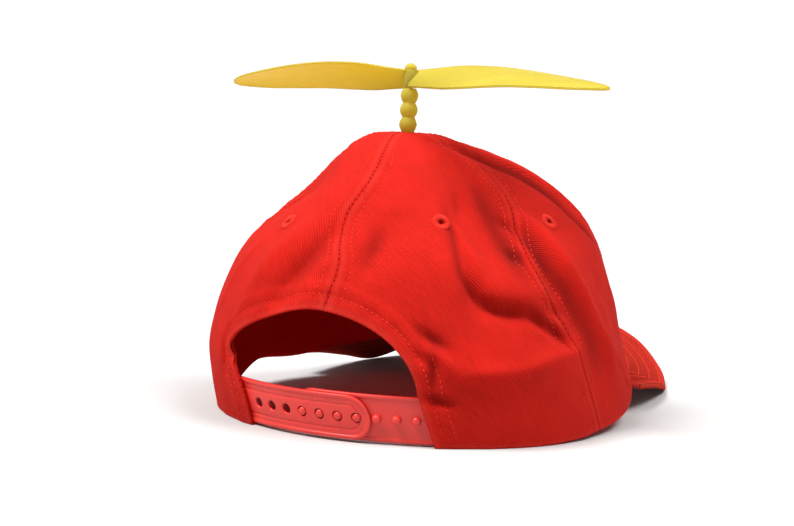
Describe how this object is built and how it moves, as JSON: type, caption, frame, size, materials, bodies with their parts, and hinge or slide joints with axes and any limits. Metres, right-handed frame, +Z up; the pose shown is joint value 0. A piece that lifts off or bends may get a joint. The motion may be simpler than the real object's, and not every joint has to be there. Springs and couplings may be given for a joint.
{
  "type": "propeller cap",
  "caption": "Soft red cloth cap with a curved peak, an arched back opening closed by a snap strap, and a yellow propeller that spins on a beaded stalk on top.",
  "frame": {"origin": "under the middle of the cap's bounding box, on the surface that it stands on", "axes": "+Z up, +Y to the front where the peak is, +X to the wearer's right"},
  "size_m": [0.1958, 0.272, 0.1562],
  "materials": {
    "red_twill": "matt cotton twill",
    "red_thread": "matt sewing thread",
    "red_plastic": "satin moulded",
    "yellow_plastic": "glossy moulded"
  },
  "bodies": {
    "cap": {"panel_back_left": "red_twill", "panel_back_right": "red_twill", "panel_side_left": "red_twill", "panel_side_right": "red_twill", "panel_front_left": "red_twill", "panel_front_right": "red_twill", "eyelet_back_left": "red_thread", "eyelet_back_right": "red_thread", "eyelet_side_left": "red_thread", "eyelet_side_right": "red_thread", "eyelet_front_left": "red_thread", "eyelet_front_right": "red_thread", "peak": "red_twill", "sweatband": "red_twill", "strap_holed": "red_plastic", "strap_studded": "red_plastic", "stalk": "yellow_plastic"},
    "propeller": {"propeller": "yellow_plastic"}
  },
  "joints": [
    {"name": "propeller_spin", "type": "hinge", "parent": "cap", "child": "propeller", "pos_m": [-0.00167, -0.05312, 0.14908], "axis": [-0.0157, 0.0349, 0.9993], "continuous": true}
  ]
}
